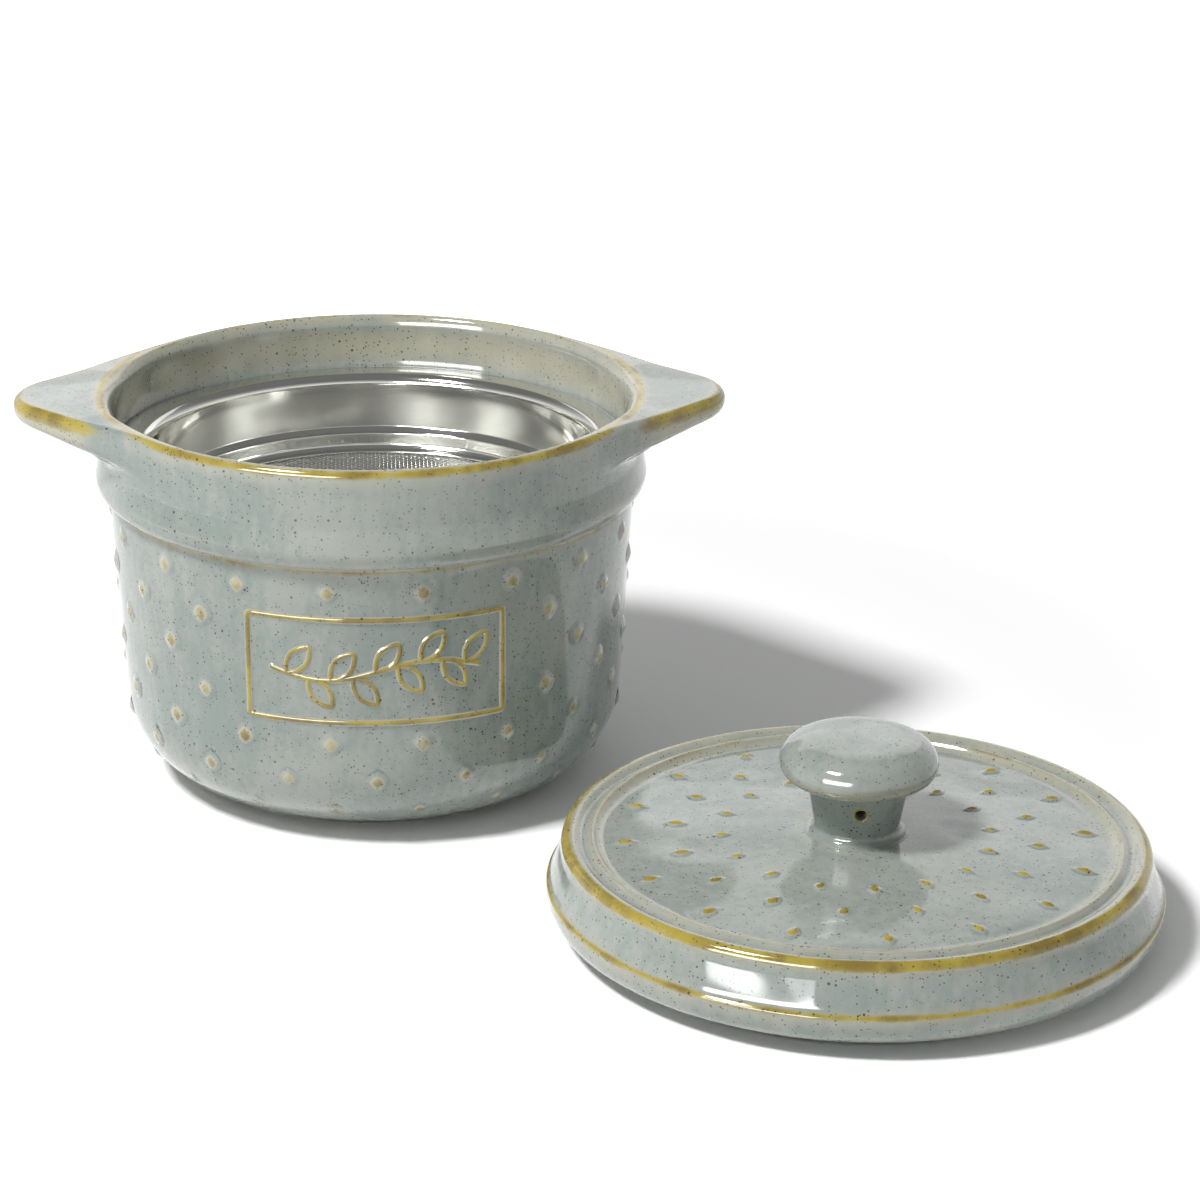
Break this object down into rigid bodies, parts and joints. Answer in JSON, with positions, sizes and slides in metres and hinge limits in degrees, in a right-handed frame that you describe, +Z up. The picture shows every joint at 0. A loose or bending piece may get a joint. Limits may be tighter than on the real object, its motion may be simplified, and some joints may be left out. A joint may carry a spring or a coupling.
{
  "type": "bacon grease container",
  "caption": "Studded stoneware crock with two lug handles, a lift-out steel strainer with a woven floor, and a knobbed lid lying beside it.",
  "frame": {"origin": "centre of the crock's foot, on the surface that it stands on", "axes": "+Z up, X through the two lugs, -Y towards the raised frame on the front"},
  "size_m": [0.2886, 0.2623, 0.105],
  "materials": {
    "crock_glaze": "gloss",
    "lug_glaze": "gloss",
    "lid_glaze": "gloss",
    "pan_steel": "polished",
    "mesh_steel": "woven"
  },
  "bodies": {
    "crock": {"crock": "crock_glaze", "left_lug": "lug_glaze", "right_lug": "lug_glaze"},
    "strainer": {"strainer_pan": "pan_steel", "mesh_screen": "mesh_steel", "mesh_ring": "pan_steel"},
    "lid": {"lid": "lid_glaze", "knob": "lid_glaze"}
  },
  "joints": [
    {"name": "strainer_lift", "type": "slide", "parent": "crock", "child": "strainer", "axis": [0, 0, 1], "range_m": [0, 0.12]},
    {"name": "lid_lift", "type": "slide", "parent": "crock", "child": "lid", "axis": [0, 0, 1], "range_m": [0, 0.12]}
  ]
}
